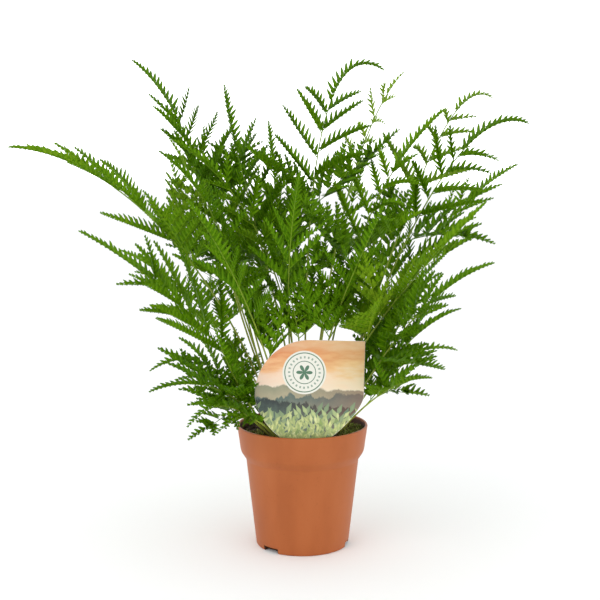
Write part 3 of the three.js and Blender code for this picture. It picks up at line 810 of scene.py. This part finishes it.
# name: root, rise, bend and tip of the stem's curve, then the share of it without pinnae, the
# length of the lowest pinna, pairs, pairs with pinnae of their own, roll, and values of its own
fronds = {
    "left_long": ((-20, -1), (-70, -5, 265), (-172, -25, 361), (-252, -45, 363), 0.47, 112, 5, 1, 14,
        {"spread": 40, "tail": 0.6}),
    "left_tallest": ((-9, 9), (-84, 34, 222), (-78, 60, 380), (-160, 60, 445), 0.58, 92, 5, 1, 25),
    "left_tall_back": ((-9, 16), (-70, 60, 209), (-54, 95, 330), (-146, 100, 404), 0.52, 96, 5, 1, 31),
    "left_middle": ((-3, 3), (-2, 14, 215), (-37, 14, 325), (-117, 4, 370), 0.5, 78, 5, 1, 45),
    "left_inner": ((-15, -7), (-60, -22, 211), (-50, -30, 305), (-124, -40, 360), 0.5, 72, 5, 1, 15),
    "left_low": ((-26, -6), (-59, -40, 191), (-121, -66, 256), (-187, -80, 294), 0.38, 104, 6, 0, 50,
        {"spread": 38}),
    "front_left": ((-8, -20), (-35, -30, 195), (-52, -84, 262), (-94, -110, 321), 0.33, 95, 6, 2, 8),
    "middle_straight": ((-3, 12), (-16, 30, 222), (-60, 36, 330), (-72, 36, 421), 0.5, 88, 5, 1, 60),
    "middle_arched": ((3, 6), (1, 16, 233), (2, 40, 481), (74, 20, 432), 0.55, 94, 5, 1, -72,
        {"droop": 0.26}),
    "right_young": ((7, 15), (21, 44, 263), (55, 70, 394), (97, 80, 435), 0.64, 54, 5, 0, 70,
        {"tail": 0.5, "droop": 0.42}),
    "right_inner": ((10, -1), (38, -4, 263), (61, -16, 339), (125, -24, 397), 0.5, 92, 5, 1, -50,
        {"droop": 0.3}),
    "right_crozier": ((16, 5), (76, 18, 224), (126, 40, 443), (177, 50, 409), 0.66, 60, 4, 0, -60,
        {"droop": 0.42}),
    "right_arched": ((17, -3), (62, -14, 210), (128, -24, 412), (194, -40, 383), 0.54, 90, 5, 1, -72,
        {"droop": 0.32}),
    "right_back": ((20, 9), (60, 40, 202), (113, 70, 295), (210, 90, 348), 0.46, 80, 5, 1, -35,
        {"spread": 42}),
    "right_front": ((12, -9), (42, -36, 195), (99, -66, 260), (152, -84, 318), 0.4, 92, 5, 2, -20),
    "right_low": ((24, -10), (54, -32, 148), (89, -86, 245), (155, -112, 270), 0.4, 88, 5, 2, -45,
        {"spread": 44}),
    "right_short": ((28, -2), (54, -14, 139), (88, -6, 195), (142, 4, 179), 0.36, 62, 4, 2, -38),
    "right_lowest": ((22, -17), (54, -30, 135), (75, -80, 171), (105, -120, 177), 0.38, 66, 4, 2, -20),
    "left_short": ((-28, -12), (-46, -44, 145), (-82, -80, 178), (-127, -104, 162), 0.28, 84, 4, 2, 10),
    "left_hanging": ((-22, -18), (-54, -48, 140), (-70, -94, 162), (-94, -120, 136), 0.3, 64, 4, 1, 10),
    "left_lowest": ((-30, -3), (-51, -12, 145), (-88, -10, 196), (-137, -20, 164), 0.3, 78, 4, 2, 30),
    "middle_front": ((-4, -9), (-16, -26, 202), (-15, -46, 275), (-2, -66, 344), 0.42, 90, 5, 2, 20),
    "front_right": ((5, -17), (15, -16, 192), (40, -70, 252), (67, -94, 316), 0.42, 90, 5, 2, 0),
    "back_left": ((-11, 22), (-32, 80, 187), (-74, 140, 271), (-116, 170, 362), 0.44, 92, 4, 2, 20),
    "back_middle": ((-1, 22), (-12, 84, 196), (-23, 140, 291), (-35, 160, 392), 0.44, 92, 4, 2, 0),
    "back_right": ((9, 22), (17, 84, 196), (38, 130, 281), (70, 165, 362), 0.44, 88, 4, 2, -20),
    "back_left_low": ((-18, 17), (-55, 70, 164), (-103, 125, 226), (-190, 165, 258), 0.44, 86, 4, 2, 10),
    "back_right_low": ((19, 17), (42, 72, 158), (100, 135, 209), (154, 165, 258), 0.44, 86, 4, 2, 0),
    "left_crozier": ((-15, 6), (-58, 16, 215), (-84, 16, 318), (-120, 4, 372), 0.6, 36, 4, 0, 40,
        {"tail": 0.8, "droop": 0.4}),
    "left_rim": ((-15, -24), (-34, -42, 122), (-50, -66, 146), (-72, -92, 124), 0.24, 60, 4, 2, 12,
        {"spread": 60}),
    "right_side": ((31, -8), (57, -26, 150), (94, -50, 212), (136, -60, 226), 0.36, 80, 4, 2, -20),
    "left_upright": ((-19, -21), (-50, -46, 138), (-62, -66, 172), (-74, -88, 214), 0.3, 60, 4, 2, 40,
        {"spread": 55}),
    "front_small": ((0, -22), (1, -30, 170), (-3, -32, 212), (-12, -64, 240), 0.66, 56, 4, 1, 0,
        {"tail": 0.6, "spread": 60, "droop": 0.06}),
}
youngFronds = ("left_crozier", "right_young", "right_crozier")


# The stem's Bezier curve by share of its length, from a table of 201 points of it.
def stemCurve(root, rise, bend, tip):
    corners = np.array([(*root, leaf["plantingDepth"]), rise, bend, tip], float)
    first, second, third = np.diff(corners, axis=0)
    table = np.linspace(0, 1, 201)
    steps = np.diff(bezier(table[:, None], *corners), axis=0)
    lengths = np.concatenate([[0], np.cumsum(np.linalg.norm(steps, axis=1))])

    def at(share):
        return np.interp(np.asarray(share) * lengths[-1], lengths, table)[..., None]

    def point(share):
        return bezier(at(share), *corners)

    def slope(share):
        t = at(share)
        return unit((1 - t) ** 2 * first + 2 * (1 - t) * t * second + t * t * third)

    return lengths[-1], point, slope


# What every part of a frond is grown from: its curve, its face's directions and its tail's start.
def readFrond(number, name):
    root, rise, bend, tip, bare, reach, pairs, branched, roll, *own = fronds[name]
    habit = {**leaf, **dict(*own)}
    length, point, slope = stemCurve(root, rise, bend, tip)
    tailLength = min(habit["tail"] * reach, 0.45 * (1 - bare) * length)
    side = np.cross(skyward, unit(np.array([tip[0] - root[0], tip[1] - root[1], 0.0])))
    cos, sin = cosSin(roll)
    tailShare = 1 - tailLength / length

    def frameAt(share):
        along = slope(share)
        flatUp = unit(np.cross(along, side))
        flatAcross = np.cross(flatUp, along)
        return point(share), along, cos * flatAcross - sin * flatUp, cos * flatUp + sin * flatAcross

    # the solid's stem is straight between its stations, which moves the foot of each pinna
    def chordShift(share):
        step = tailShare / (leaf["stemStations"] - 1)
        station = math.floor(share / step)
        if share >= tailShare:
            return np.zeros(3)
        chord = mix(point(station * step), point((station + 1) * step), share / step - station)
        return chord - point(share)

    return {**habit, "seed": number + 1, "length": length, "tailLength": tailLength,
            "tailShare": tailShare, "bare": bare, "reach": reach, "pairs": pairs,
            "branched": branched, "frameAt": frameAt, "chordShift": chordShift}


# The directions of a blade that runs along slope: its face is turned to the sky, then by twist.
def bladeFace(slope, face, twist):
    wanted = leaf["skyPull"] * skyward + (1 - leaf["skyPull"]) * face
    up = unit(wanted - dot(wanted, slope) * slope)
    up = math.cos(twist) * up + math.sin(twist) * np.cross(slope, up)
    return slope, np.cross(up, slope), up


# The direction that leaves a frame on one side, at the angle opening from its way and lifted by
# rise from its face, and the face that goes with it.
def leaving(frame, side, rise, opening):
    _, along, across, up = frame
    riseCos, riseSin = cosSin(rise)
    cos, sin = (value[..., None] for value in cosSin(opening))
    return (cos * along + sin * (side * riseCos * across + riseSin * up),
            riseCos * up - side * riseSin * across)


# The frame along a blade: it leaves its foot along start and bends by the square of the distance.
def bladeFrame(foot, start, length, bend, face, twist):
    def frameAt(u):
        u = np.asarray(u, float)[..., None]
        return (foot + length * u * start + length * u * u * bend,
                *bladeFace(unit(start + 2 * u * bend), face, twist))
    return frameAt


# The frame along a pinna: it leaves its foot at the angle spread, risen by lift, bends towards the
# frond's tip and sags.
def pinnaFrame(pinna, turn, lengthShare):
    seed, foot = pinna["seed"], pinna["foot"]
    start, face = leaving(foot, pinna["side"], pinna["lift"] + turn[0], pinna["spread"] + turn[1])
    length = pinna["length"] * lengthShare
    sag = pinna["droop"] * (1 + sway(seed, 7, 1.4))
    bend = leaf["sweep"] * foot[1] - sag * skyward
    twist = sway(seed, 3, math.radians(leaf["faceTwist"]))
    return bladeFrame(foot[0], start, length, bend, face, twist), length


# The pinnae of a frond with the turn and length that each one has in the solid, whose corners
# hold the tip of every pinna that grew. What isn't there was crowded out.
def pinnaeOf(frond, corners):
    seed, run = frond["seed"], (frond["tailShare"] - frond["bare"]) * frond["length"]
    grown = []
    for pair in range(frond["pairs"]):
        u = 1 - (1 - pair / frond["pairs"]) ** 1.3
        shorter = 1 if pair == 0 else 0.3 + 0.48 * (1 - u) ** 0.7
        for second, side in enumerate((1, -1)):
            number = 5 * (2 * pair + second)
            place = run * (u + sway(seed, number + 1, 0.03) + leaf["pairOffset"] * second)
            share = frond["bare"] + place / frond["length"]
            point, *directions = frond["frameAt"](share)
            pinna = {
                "foot": (point + frond["chordShift"](share), *directions), "side": side,
                "seed": seed + 0.37 * (2 * pair + second + 1), "branched": pair < frond["branched"],
                "length": frond["reach"] * shorter * (1 + sway(seed, number + 2, 0.24)),
                "spread": frond["spread"] - 12 * u + sway(seed, number + 3, 12),
                "lift": leaf["pinnaLift"] + sway(seed, number + 4, 12),
                "droop": frond["droop"],
            }
            for lengthShare, turn in ((s, t) for s in lengthShares for t in turns):
                frameAt, _ = pinnaFrame(pinna, turn, lengthShare)
                if np.abs(corners - frameAt(1.0)[0] * mm).max(1).min() < 0.3 * mm:
                    pinna["foot"] = (point, *directions)
                    pinna["frameAt"], pinna["grownLength"] = pinnaFrame(pinna, turn, lengthShare)
                    grown.append(pinna)
                    break
    return grown


# Second-order pinnae of a branched pinna, on both sides of its midrib, shorter towards its tip.
def branchlets(pinna, tone):
    length, seed = pinna["grownLength"], pinna["seed"]
    count = max(3, round(length / leaf["branchPitch"]))
    fold = leaf["branchLift"] * (1 + sway(seed, 5, 0.3))
    ribs = []
    for i in range(count):
        for second, side in enumerate((1, -1)):
            q = sway(seed, 20 + 2 * i + second, 1)
            u = max(0.06, 0.10 + 0.68 * (i + 0.25 * second + 0.3 * q) / count)
            foot = pinna["frameAt"](u)
            start, _ = leaving(foot, side, fold, leaf["branchAngle"] + 8 * q)
            bend = leaf["sweep"] * foot[1] - 0.5 * leaf["droop"] * skyward
            reach = length * (leaf["branchLength"] * (1 - u) ** 0.9 + 0.03) * (1 + 0.3 * q)
            frameAt = bladeFrame(foot[0], start, reach, bend, foot[3], 0.6 * q)
            ribs.append(rib(frameAt, reach, seed + 0.031 * (i + 1) + 0.5 * second,
                            min(13, 6 + 0.2 * reach), leaf["finePitch"], 0.06, leaf["fineLobe"][2],
                            0.36, tone, leaf["fineLobe"]))
    return ribs


# What carries lobes: a frame, its length and seed, its longest lobe, the pitch of its lobes and the
# share where they start, the fold and shape of a lobe, and the midrib's radius and tone.
def rib(frameAt, length, seed, longest, pitch, start, fold, radius, tone, lobe=leaf["combLobe"]):
    return {"frameAt": frameAt, "length": length, "seed": seed, "longest": longest, "pitch": pitch,
            "start": start, "fold": fold, "radius": radius, "webbed": lobe[0], "widest": lobe[1],
            "tone": tone}


# The lobes of a rib, in two rows folded up from its face. They stand closer towards the rib's end,
# by x = 1 - (1 - even share) to the power of the crowding. There each leans more to the tip, and
# the length follows (1 - x) to the power of the fade.
def lobesOf(r):
    count = max(4, round(r["length"] * (1 - r["start"]) / r["pitch"]))
    crowding, i = leaf["lobeCrowding"], np.arange(count)
    rows = []
    for side in (1, -1):
        left = 1 - (i + 0.5 + 0.15 * side) / count
        u = r["start"] + (0.99 - r["start"]) * (1 - left ** crowding)
        q = sway(r["seed"] + i * 0.71, 11 + side, 1)
        shape = np.minimum(1, 0.7 + 2.5 * (u - r["start"])) * left ** (crowding * leaf["lobeFade"])
        foot = r["frameAt"](u)
        angle = leaf["lobeAngle"] - leaf["lobeLean"] * (1 - left ** crowding) ** 2 + 10 * q
        out, face = leaving(foot, side, r["fold"], angle)
        rows.append((foot[0], foot[1], out, face,
                     r["longest"] * np.maximum(0.12, shape) * (0.96 + 0.28 * q),
                     r["pitch"] * crowding * left ** (crowding - 1),
                     r["tone"] + sway(r["seed"] + i * 1.3, 31 + side, 0.16),
                     np.full(count, r["webbed"]), np.full(count, r["widest"])))
    return rows


# Blades: each runs from its foot along out, bends towards the rib's tip with the square of the
# distance and sinks likewise. Its section is a flat diamond whose edges are raised to a shallow V.
# It is as wide as the web that joins it to its neighbours up to the share webbed, then narrower.
def blades(rows):
    point, along, out, face, length, pitch, tone, webbed, widest = (
        np.concatenate(parts) for parts in zip(*rows))
    s = np.stack([0 * webbed, webbed, webbed + 0.1, 0.6 + 0.2 * webbed, 0.85 + 0.1 * webbed], -1)
    lean = unit(along - dot(along, out) * out)
    share = s[:, :, None]
    size = length[:, None, None]
    bend = leaf["lobeBend"] * lean[:, None] - leaf["lobeSink"] * face[:, None]

    def axis(share):
        return point[:, None] + size * (out[:, None] * share + bend * share ** 2)

    path = axis(share)
    way = unit(out[:, None] + 2 * share * bend)
    width = unit(lean[:, None] - dot(lean[:, None], way) * way)
    up = np.cross(way, width)
    facing = np.sign(dot(up, face[:, None]))
    web = np.minimum(leaf["webWidth"] * pitch, 0.3 * length + 0.4)[:, None]
    middle = np.minimum(np.minimum(widest, 0.42 * pitch), 0.15 * length + 0.3)[:, None]
    profile = np.array([[1, 0.96, 0, 0, 0], [0, 0, 1, 0.78, 0.42]])
    half = (web * profile[0] + middle * profile[1])[..., None]
    thick = leaf["thickness"] / 2 * np.array([1, 0.95, 0.8, 0.6, 0.35])[None, :, None]
    raised = 0.22 * half * facing * up
    rings = np.stack([path + width * half + raised, path + up * thick,
                      path - width * half + raised, path - up * thick], 2)
    ends = np.stack([path[:, 0] - 0.2 * out, axis(np.ones((1, 1, 1)))[:, 0]], 1)
    underside = np.arange(4) == np.where(facing > 0, 3, 1)
    shade = tone[:, None, None] + 0.05 * underside + 0.06 * share
    return tubes(rings, ends, share, [1, 0.5, 0, 0.5], shade, 1)


# Round tubes that follow ribs, with a radius for each rib and share. The groove is how much
# shorter the radius is at the corner that lies on the upper face.
def alongRibs(ribs, share, radius, sides, groove, tone, finish):
    frames = [r["frameAt"](share) for r in ribs]
    point, along, across, up = (np.array(parts) for parts in zip(*frames))
    dip = 1 - groove * (np.arange(sides) == 0)
    angle = circle(sides, np.pi / 2)
    rings = ringsAbout(point, across, up, radius[..., None, None] * dip[:, None], angle)
    tips = np.array([r["frameAt"](1)[0] for r in ribs])
    ends = np.stack([point[:, 0] - 0.3 * along[:, 0], tips], 1)
    return tubes(rings, ends, share[None, :, None], 0.5 + 0.5 * np.sin(angle), tone, finish)


# The stem's tube, with a groove along its upper face.
def stemTube(frond, tone):
    share = np.linspace(0, 0.998, 44)
    radius = np.interp(share, [0, 0.06, frond["tailShare"], 1], [
        1.25 * leaf["stemRadius"], leaf["stemRadius"], leaf["stemTipRadius"], leaf["ribEndRadius"]])
    return alongRibs([frond], share, radius[None], 10, 0.28, tone, 0)


def midribs(ribs):
    share = np.linspace(0, 0.985, 9)
    radius = np.array([mix(r["radius"], leaf["ribEndRadius"], share) for r in ribs])
    tone = np.array([r["tone"] + 0.25 for r in ribs])[:, None, None]
    return alongRibs(ribs, share, radius, 5, 0, tone, 1)


def leafMaterial(name, stops, gloss):
    material, tree, shader = newMaterial(name, gloss, 0.05)
    along, across, tone = growthPlace(tree)
    mottle = noise(tree, 230, 3, 0.6)
    patch = noise(tree, 26, 2, 0.5)
    colour = ramp(stirred(stirred(tone, mottle, 0.3), patch, 0.3), stops)
    # veins: chevrons that run out from the middle line, which is pale itself
    offMiddle = calc("ABSOLUTE", calc("SUBTRACT", across, 0.5))
    chevron = calc("SINE", times(calc("SUBTRACT", along, times(offMiddle, 0.35)), 52))
    middle = calc("LESS_THAN", offMiddle, 0.07)
    colour = blendColour(times(middle, 0.4), colour, stops[-1][1])
    feed(shader, "Base Color", colour)
    feed(shader, "Roughness", times(mottle, 0.2, gloss - 0.1))
    bump(shader, times(chevron, 0.3, mottle), 0.3, 0.2)
    return material


def stalkMaterial():
    material, tree, shader = newMaterial("stalk", 0.42, 0.2)
    along, _, tone = growthPlace(tree)
    mottle = noise(tree, 300, 3, 0.6)
    colour = ramp(stirred(along, mottle, 0.16), [
        (0.0, (112, 84, 36)), (0.1, (152, 150, 62)), (0.42, (142, 158, 54)),
        (0.75, (116, 146, 34)), (1.0, (104, 140, 24))])
    colour = blendColour(times(tone, 0.3), colour, (78, 112, 14))
    feed(shader, "Base Color", colour)
    bump(shader, mottle, 0.25, 0.3)
    return material


leafStops = [(0.0, (42, 78, 0)), (0.35, (65, 107, 1)), (0.65, (88, 131, 6)), (1.0, (132, 164, 32))]
youngStops = [
    (0.0, (66, 104, 12)), (0.4, (94, 132, 22)), (0.7, (122, 154, 40)), (1.0, (156, 182, 70))]


# The frame along a frond's tip, which carries lobes of its own and turns its face to the sky.
def tailFrame(frond):
    def frameAt(u):
        point, along, _, up = frond["frameAt"](mix(frond["tailShare"], 1, np.asarray(u)))
        return (point, *bladeFace(along, up, 0))
    return frameAt


def addFrond(number, name, materials):
    frond = readFrond(number, name)
    node = "frond_" + name
    corners = np.zeros(3 * len(frame["nodes"][node].data.vertices), np.float32)
    frame["nodes"][node].data.vertices.foreach_get("co", corners)
    pinnae = pinnaeOf(frond, corners.reshape(-1, 3))
    frondTone = 0.5 + sway(frond["seed"], 91, 0.3)
    ribs = []
    for pinna in pinnae:
        tone = frondTone + sway(pinna["seed"], 93, 0.16)
        length = pinna["grownLength"]
        fold = leaf["combLobe"][2] * (1 + sway(pinna["seed"], 5, 0.3))
        if pinna["branched"]:
            ribs += branchlets(pinna, tone)
            longest, start = min(12, 3 + 0.13 * length), 0.6
        else:
            longest, start = min(15.5, 4.5 + 0.16 * length), 0.05
        ribs.append(rib(pinna["frameAt"], length, pinna["seed"], longest, leaf["lobePitch"], start,
                        fold, leaf["ribRadius"], tone))
    longest = min(13, 2.5 + 0.16 * frond["tailLength"])
    tail = rib(tailFrame(frond), frond["tailLength"], frond["seed"] + 0.9, longest,
               leaf["lobePitch"] - 0.1, 0.0, leaf["tailLift"], leaf["stemTipRadius"], frondTone)
    rows = [row for r in ribs + [tail] for row in lobesOf(r)]
    shapes = [stemTube(frond, frondTone), midribs(ribs), blades(rows)]
    # no lobe reaches out of the box round the solids
    for shape in shapes:
        shape["points"] = np.clip(shape["points"], cadLow, cadHigh)
    addPiece("fern_" + name, shapes, materials, [node], 48)
    return len(pinnae)


def addFronds():
    stalk = stalkMaterial()
    green = leafMaterial("frondGreen", leafStops, 0.5)
    young = leafMaterial("youngGreen", youngStops, 0.48)
    for number, name in enumerate(fronds):
        grown = addFrond(number, name, [stalk, young if name in youngFronds else green])
        print(f"frond {name}: {grown} pinnae")


addFronds()

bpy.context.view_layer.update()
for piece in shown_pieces():
    piece.data.calc_loop_triangles()
